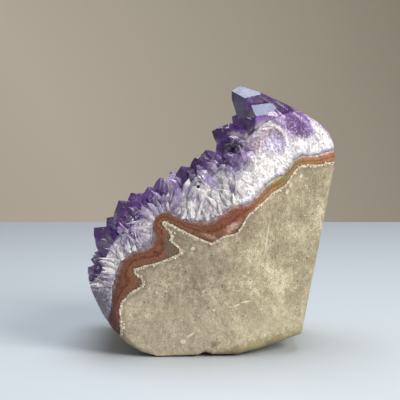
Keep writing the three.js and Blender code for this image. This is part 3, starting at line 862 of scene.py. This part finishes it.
# sugary white near the band, through needles and blocks of lilac, to violet at the tips
def quartzColour(tree, c, whiteUpTo, sugarStrength, extra=(), blockReach=7):
    position = place(tree)
    needles = columnCoordinates(tree, 6)
    blocks = columnCoordinates(tree, 1.7)
    drift = cloud(tree, position, quartzGrain["drift"], 5, 0.6)
    block = perGrain(tree, blocks, quartzGrain["block"])
    needle = perGrain(tree, needles, quartzGrain["needle"])
    sugar = perGrain(tree, position, quartzGrain["sugar"])
    tone = calc(tree, "ADD", stored(tree, "growth"), around(tree, drift, 11))
    tone = calc(tree, "ADD", tone, around(tree, block, blockReach))
    for name, reach in extra:
        tone = calc(tree, "ADD", tone, around(tree, stored(tree, name), reach))
    body = ramp(
        tree,
        between(tree, tone, -12, 17, 0, 1, "LINEAR"),
        [(0.0, c["milky"]), (0.22, c["milky"]), (0.42, c["lilac"]), (0.64, c["violet"]), (1.0, c["deep"])],
    )
    lift = calc(tree, "ADD", around(tree, needle, 7), around(tree, sugar, 3))
    white = between(tree, calc(tree, "ADD", tone, lift), whiteUpTo + 4, whiteUpTo - 5)
    pane = perGrain(tree, columnCoordinates(tree, 2.4), quartzGrain["clear"])
    clear = between(tree, pane, 0.62, 0.95, 0, 0.8)
    colour = blend(tree, white, body, blend(tree, clear, c["white"], c["frost"]))
    colour = painted(tree, position, colour, quartzMarks, c)
    near = calc(tree, "ADD", stored(tree, "fromBand"), around(tree, drift, 3))
    colour = blend(tree, between(tree, near, 2.2, 0.6, 0, 0.8), colour, c["chalcedony"])
    streak = cloud(tree, columnCoordinates(tree, 4), quartzGrain["streak"], 5, 0.75)
    colour = shaded(tree, colour, streak, 0.3, 0.66, 0.45, 1.36)
    return shaded(tree, colour, sugar, 0, 1, 1 - sugarStrength, 1 + sugarStrength * 0.5), white


def bedMaterial():
    material, tree, shader = newMaterial("quartz")
    colour, _ = quartzColour(tree, quartzColours, -5.5, 0.34)
    sugar = perGrain(tree, place(tree), quartzGrain["sugar"])
    roughness = between(tree, sugar, 0, 1, 0.14, 0.5, "LINEAR")
    normal = leaningNormal(tree, columnCoordinates(tree, 2), 0.9 * mm, 0.4)
    setInputs(tree, shader, {"Base Color": colour, "Roughness": roughness, "Normal": normal})
    setInputs(tree, shader, {"IOR": quartzIor, "Specular IOR Level": 0.3, "Transmission Weight": 0.15})
    return material


def makeBed():
    piece = mergedCopy("quartz_layer", "quartzBed")
    remesh(piece, bedSizes["voxel"], bedSizes["smoothing"])
    roughen(piece, "VORONOI", *bedSizes["sugar"])
    corners = closeGap(cornersOf(piece.data), crystalSurface, bedSizes["gap"])
    moveCorners(piece.data, corners)
    storeGrowth(piece.data)
    finishPiece(piece, bedMaterial(), "quartz", "quartz_layer")
    return piece


quartzBed = makeBed()
print("quartz bed:", len(quartzBed.data.polygons), "faces")


crystalSizes = {
    "bevel": 0.16 * mm,
    "bevelAngle": math.radians(14),
    "longestEdge": 1.5 * mm,
    "flatAngle": math.radians(1),
    "facetLight": (0.62, 1.7),  # painted light and shade: darkest and lightest face of a crystal, picked at random per face
    # painted reflection: blue-grey faces painted as if they mirrored the sky: place in mm and strength, and
    # the least area of one in mm2
    "skyFacets": [((13.5, -25, 98.5), 0.7), ((19.4, -26, 90.5), 1.0)],
    "leastSky": 8,
    "absorbed": ((0.74, 0.46, 0.88, 1), 100.0),  # colour and density of the inside
}


def amethystMaterial():
    material, tree, shader = newMaterial("amethyst")
    colour, white = quartzColour(tree, amethystColours, -5, 0.2, [("facet", 9)], 6)
    # milky veils inside the crystals, whose whitest streaks also serve as painted glints
    veilsAndGlints = cloud(tree, columnCoordinates(tree, 3), 1.1 * mm, 4, 0.7)
    colour = blend(tree, between(tree, veilsAndGlints, 0.56, 0.72, 0, 0.6), colour, amethystColours["white"])
    # painted light and shade: each face is made darker or lighter by its own random value, as if it caught
    # the light by itself
    colour = shaded(tree, colour, stored(tree, "facet"), 0, 1, *crystalSizes["facetLight"])
    # painted reflection of the sky on the marked faces, and painted highlights on the bevelled edges
    for name, strength, paint in (("sky", 0.9, "sky"), ("edge", 0.75, "worn")):
        share = calc(tree, "MULTIPLY", stored(tree, name), strength)
        colour = blend(tree, share, colour, amethystColours[paint])
    roughness = between(tree, veilsAndGlints, 0.3, 0.8, 0.05, 0.22, "LINEAR")
    normal = leaningNormal(tree, place(tree), 1.9 * mm, 0.16)
    setInputs(tree, shader, {"Base Color": colour, "Roughness": roughness, "Normal": normal})
    setInputs(tree, shader, {"IOR": quartzIor, "Transmission Weight": between(tree, white, 0, 1, 0.6, 0.2)})
    tint, density = crystalSizes["absorbed"]
    absorption = addNode(tree, "ShaderNodeVolumeAbsorption", {"Color": tint, "Density": density})
    tree.links.new(absorption.outputs["Volume"], tree.nodes["Material Output"].inputs["Volume"])
    return material


def makeCrystals(nodeName, material):
    words = nodeName.split("_")
    piece = mergedCopy(nodeName, words[0] + "".join(word.title() for word in words[1:]))
    mesh = piece.data
    chance = random.Random(nodeName)
    bm = bmesh.new()
    bm.from_mesh(mesh)
    bmesh.ops.dissolve_limit(bm, angle_limit=crystalSizes["flatAngle"], verts=bm.verts, edges=bm.edges)
    facet = bm.faces.layers.float.new("facet")
    edge = bm.faces.layers.float.new("edge")
    sky = bm.faces.layers.float.new("sky")
    for face in bm.faces:
        face[facet] = chance.random()
    if nodeName == "crest_points":
        # the upper faces nearest the given places get the painted sky reflection
        leastArea = crystalSizes["leastSky"] * mm * mm
        upper = [face for face in bm.faces if face.normal.z > 0.1 and face.calc_area() > leastArea]
        for at, strength in crystalSizes["skyFacets"]:
            nearest = min(upper, key=lambda face: (face.calc_center_median() / mm - Vector(at)).length)
            nearest[sky] = strength
    sharp = [e for e in bm.edges if e.calc_face_angle(0) > crystalSizes["bevelAngle"]]
    width = crystalSizes["bevel"]
    bevel = bmesh.ops.bevel(bm, geom=sharp, offset=width, segments=1, affect="EDGES", clamp_overlap=True)
    # the bevels are marked for a painted highlight along the crystal edges
    for face in bevel["faces"]:
        face[edge] = 1
    bmesh.ops.triangulate(bm, faces=bm.faces)
    for _ in range(4):
        longEdges = [e for e in bm.edges if e.calc_length() > crystalSizes["longestEdge"]]
        bmesh.ops.subdivide_edges(bm, edges=longEdges, cuts=1)
        bmesh.ops.triangulate(bm, faces=bm.faces)
    bm.to_mesh(mesh)
    bm.free()
    mesh.shade_flat()
    storeGrowth(mesh)
    finishPiece(piece, material, "amethyst", nodeName)
    return piece


amethyst = amethystMaterial()
crystals = [makeCrystals(name, amethyst) for name in crystalNodes]
print("crystals:", len(crystals), "pieces,", sum(len(c.data.polygons) for c in crystals), "faces")


# small points' materials: palette, how far out the white reaches, how much the points differ, pale edges
smallPointFinishes = {
    "paleQuartz": (quartzColours, -6, 15, 0.8),
    "milkyQuartz": (quartzColours, -3, 8, 0.15),
    "smallAmethyst": (amethystColours, -10, 10, 0.35),
}

# small points on the cut sides and between the large ones. Each scatter has its sizes, how deep the
# shapes' middles lie under the face, and how much they lean out of it
smallPoints = {
    "sugarGrains": {
        "sizes": {
            "Density": 1.4e6,
            "Least length": 0.5 * mm,
            "Most length": 1.3 * mm,
            "Least width": 0.15 * mm,
            "Most width": 0.45 * mm,
            "Tilt": 1.1,
            "Sink": -0.4 * mm,
            "Seed": 3,
        },
        "bury": 0.22 * mm,
        "lean": 0.1,
        "mould": leafMould,
        "finish": "paleQuartz",
        "slot": "quartz",
    },
    "quartzNeedles": {
        "sizes": {
            "Density": 0.28e6,
            "Least length": 3.6 * mm,
            "Most length": 8.2 * mm,
            "Least width": 0.4 * mm,
            "Most width": 1.15 * mm,
            "Tilt": 0.36,
            "Sink": -2.4 * mm,
            "Seed": 7,
        },
        "bury": 0.2 * mm,
        "lean": 0.04,
        "mould": leafMould,
        "finish": "paleQuartz",
        "slot": "quartz",
    },
    "palePoints": {
        "sizes": {
            "Density": 0.11e6,
            "Least length": 4.5 * mm,
            "Most length": 9.5 * mm,
            "Least width": 1.0 * mm,
            "Most width": 2.6 * mm,
            "Tilt": 0.45,
            "Sink": -3.0 * mm,
            "Seed": 31,
        },
        "bury": 1.5 * mm,
        "lean": 0.06,
        "mould": pointMould,
        "finish": "milkyQuartz",
        "slot": "quartz",
    },
    "edgePoints": {
        "sizes": {
            "Density": 0.15e6,
            "Least length": 5.0 * mm,
            "Most length": 9.5 * mm,
            "Least width": 0.8 * mm,
            "Most width": 2.4 * mm,
            "Tilt": 0.4,
            "Sink": -3.0 * mm,
            "Seed": 21,
        },
        "bury": 1.1 * mm,
        "lean": 0.08,
        "mould": pointMould,
        "finish": "smallAmethyst",
        "slot": "amethyst",
    },
    "fineDruse": {
        "sizes": {
            "Density": 0.2e6,
            "Least length": 3.5 * mm,
            "Most length": 8.0 * mm,
            "Least width": 0.8 * mm,
            "Most width": 1.9 * mm,
            "Tilt": 0.35,
            "Sink": -2.0 * mm,
            "Seed": 12,
        },
        "bury": 0.0,
        "mould": pointMould,
        "finish": "smallAmethyst",
        "slot": "amethyst",
    },
}


# where they grow
pointZones = {
    "flat": 0.97,  # how squarely a face looks to the front or back, from 0 to 1
    "bent": 0.8,
    "bend": (-18 * mm, 26 * mm),  # the rounded left side: left of this x and above this height
    "offBand": 1.2 * mm,
    "sugarTo": 6 * mm,
    "needlesFrom": 2.6 * mm,
    "needlesTo": 7 * mm,  # in the middle only
    "paleFrom": 4.5 * mm,
    "middle": (-12 * mm, 16 * mm),
    "crest": 12 * mm,
    "nearCrystals": 4.5 * mm,
    "amongCrystals": 1.2 * mm,
    "druseTo": 13 * mm,
    "druseFacing": ((-0.6, 0, 0.8), 0.35),
    "proud": 0.8 * mm,  # how far they may stand out of the cut sides
    "offTable": 0.2 * mm,
}


def smallPointMaterial(name, palette, whiteUpTo, ownReach, outline):
    material, tree, shader = newMaterial(name)
    colour, white = quartzColour(tree, palette, whiteUpTo, 0.12, [("own", ownReach)])
    edge = between(tree, stored(tree, "rim"), 0.34, 0.1, 0, outline)
    colour = blend(tree, edge, colour, palette["white"])
    roughness = between(tree, stored(tree, "own"), 0, 1, 0.08, 0.25, "LINEAR")
    normal = leaningNormal(tree, place(tree), 1.0 * mm, 0.2)
    setInputs(tree, shader, {"Base Color": colour, "Roughness": roughness, "Normal": normal})
    setInputs(tree, shader, {"IOR": quartzIor, "Transmission Weight": between(tree, white, 0, 1, 0.5, 0.25)})
    return material


# which way the cut stone faces at each corner, without the small unevenness
def smoothNormals(corners):
    found = [bedSurface.find_nearest(Vector(corner)) for corner in corners]
    return np.array([f[1] for f in found])


# where each kind of point grows on the bed, and which way is outwards, away from the band
def growingPlaces():
    zones = pointZones
    corners, normals = cornersOf(quartzBed.data), normalsOf(quartzBed.data)
    x, height = corners[:, 0], corners[:, 2]
    roots, away = nearestOn(bandSurface, corners)
    outwards = (corners - roots) / np.maximum(away, tiny)[:, None]
    toCrystals = nearestOn(crystalSurface, corners)[1]
    facing = np.abs(smoothNormals(corners)[:, 1])
    clear = away > zones["offBand"]
    onCut = (facing > zones["flat"]) & clear
    onBend = (facing > zones["bent"]) & clear & (x < zones["bend"][0]) & (height > zones["bend"][1])
    middle = (x > zones["middle"][0]) & (x < zones["middle"][1])
    direction, facingIt = zones["druseFacing"]
    onTop = (toCrystals < zones["amongCrystals"]) & (normals @ np.array(direction) > facingIt)
    needles = (away > zones["needlesFrom"]) & ~(middle & (away > zones["needlesTo"]))
    nearCrystals = (toCrystals < zones["nearCrystals"]) & (x < zones["crest"])
    places = {
        "sugarGrains": onCut & (away < zones["sugarTo"]),
        "quartzNeedles": (onCut | onBend) & needles,
        "palePoints": onCut & middle & (away > zones["paleFrom"]),
        "edgePoints": (onCut | onBend) & nearCrystals,
        "fineDruse": onTop & (x < zones["druseTo"]),
    }
    return places, outwards, normals


def makeSmallPoints():
    places, outwards, normals = growingPlaces()
    finishes = {name: smallPointMaterial(name, *values) for name, values in smallPointFinishes.items()}
    low = np.array(cadBox[0]) + (0, -pointZones["proud"], pointZones["offTable"])
    high = np.array(cadBox[1]) + (0, pointZones["proud"], 0)
    for name, kind in smallPoints.items():
        grow = outwards + kind["lean"] * normals if "lean" in kind else normals
        shape, finish = kind["mould"], finishes[kind["finish"]]
        piece = scattered(quartzBed, name, places[name], grow, shape, finish, kind["sizes"], kind["bury"])
        moveCorners(piece.data, np.clip(cornersOf(piece.data), low, high))
        storeGrowth(piece.data)
        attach(piece, "root")
        print(name + ":", len(piece.data.polygons), "faces")


makeSmallPoints()
for mould in (pointMould, leafMould, crumbMould):
    bpy.data.objects.remove(mould)


stageSizes = {
    "halfWidth": 1.6,
    "front": -1.4,
    "tableEdge": 0.41,
    "edgeRound": 0.004,
    "edgeDrop": -0.3,
    "wall": 1.0,
    "wallFoot": -0.6,
    "wallTop": 2.0,
}

# staging materials with painted light: the colours at both ends of a soft gradient that stands in for light
# falling off, the axis it also runs along and how strongly, where it begins and ends, and the roughness
stagePaints = {
    # painted light: the table top darkens towards the back and the left
    "tableTop": ([(0, (0.37, 0.41, 0.445)), (1, (0.60, 0.64, 0.66))], "Y", -3.0, -1.2, 1.2, 0.5),
    # painted light: the backdrop darkens towards the right and the top
    "backdrop": ([(0, (0.56, 0.495, 0.405)), (1, (0.225, 0.195, 0.145))], "Z", 0.6, -0.15, 0.4, 0.9),
}
lights = {
    "rightWindow": {"at": (1.18, -0.93, 0.90), "size": 0.85, "power": 34.0, "colour": (1.0, 0.97, 0.92)},
    "skyPanel": {"at": (0.02, 0.12, 0.62), "size": 0.5, "power": 3.9, "colour": (0.84, 0.89, 1.0)},
}
lampTarget = (0, 0, 0.05)
worldLight = {"colour": (0.86, 0.88, 0.90), "strength": 0.36}
view = {"target": (-4.4 * mm, -28 * mm, 58.3 * mm), "distance": 0.45, "elevation": 5.5, "lens": 110.0}


def gradientMaterial(name, stops, axis, weight, low, high, roughness):
    material, tree, shader = newMaterial(name)
    position = place(tree)
    split = addNode(tree, "ShaderNodeSeparateXYZ", {"Vector": position})
    soft = cloud(tree, position, 0.5, 2)
    value = calc(tree, "ADD", split.outputs["X"], calc(tree, "MULTIPLY", split.outputs[axis], weight))
    value = calc(tree, "ADD", value, around(tree, soft, 0.1))
    colour = ramp(tree, between(tree, value, low, high, 0, 1, "LINEAR"), stops)
    setInputs(tree, shader, {"Base Color": colour, "Roughness": roughness})
    return material


def makeSheet(name, corners, faces):
    mesh = bpy.data.meshes.new(name)
    mesh.from_pydata(corners, [], faces)
    mesh.materials.append(gradientMaterial(name, *stagePaints[name]))
    return newPiece(name, mesh)


def makeStage():
    sizes = stageSizes
    side, edge, wall = sizes["halfWidth"], sizes["tableEdge"], sizes["wall"]
    rounding = sizes["edgeRound"]
    corners = [(-side, sizes["front"], 0), (side, sizes["front"], 0), (side, edge, 0), (-side, edge, 0)]
    corners += [(-side, edge + rounding, -rounding), (side, edge + rounding, -rounding)]
    corners += [(-side, edge + rounding, sizes["edgeDrop"]), (side, edge + rounding, sizes["edgeDrop"])]
    tableTop = makeSheet("tableTop", corners, [(0, 1, 2, 3), (3, 2, 5, 4), (4, 5, 7, 6)])
    foot, top = sizes["wallFoot"], sizes["wallTop"]
    corners = [(-side, wall, foot), (side, wall, foot), (side, wall, top), (-side, wall, top)]
    backdrop = makeSheet("backdrop", corners, [(0, 1, 2, 3)])


def aimAt(thing, target):
    direction = Vector(target) - thing.location
    thing.rotation_euler = direction.to_track_quat("-Z", "Y").to_euler()


def makeLights():
    for name, settings in lights.items():
        lamp = bpy.data.lights.new(name, "AREA")
        lamp.shape = "SQUARE"
        lamp.size = settings["size"]
        lamp.energy = settings["power"]
        lamp.color = settings["colour"]
        thing = newPiece(name, lamp)
        thing.location = settings["at"]
        aimAt(thing, lampTarget)
    world = bpy.data.worlds.new("studio")
    scene.world = world
    world.use_nodes = True
    glow = {"Color": (*worldLight["colour"], 1), "Strength": worldLight["strength"]}
    setInputs(world.node_tree, world.node_tree.nodes["Background"], glow)


def makeCamera():
    angle = math.radians(view["elevation"])
    back = Vector((0, -math.cos(angle), math.sin(angle))) * view["distance"]
    camera = newPiece("camera", bpy.data.cameras.new("camera"))
    camera.data.lens = view["lens"]
    camera.data.clip_start = 0.01
    camera.location = Vector(view["target"]) + back
    aimAt(camera, view["target"])
    scene.camera = camera


makeStage()
makeLights()
makeCamera()
scene.view_settings.view_transform = "Standard"
print("stage, lights and camera ready")
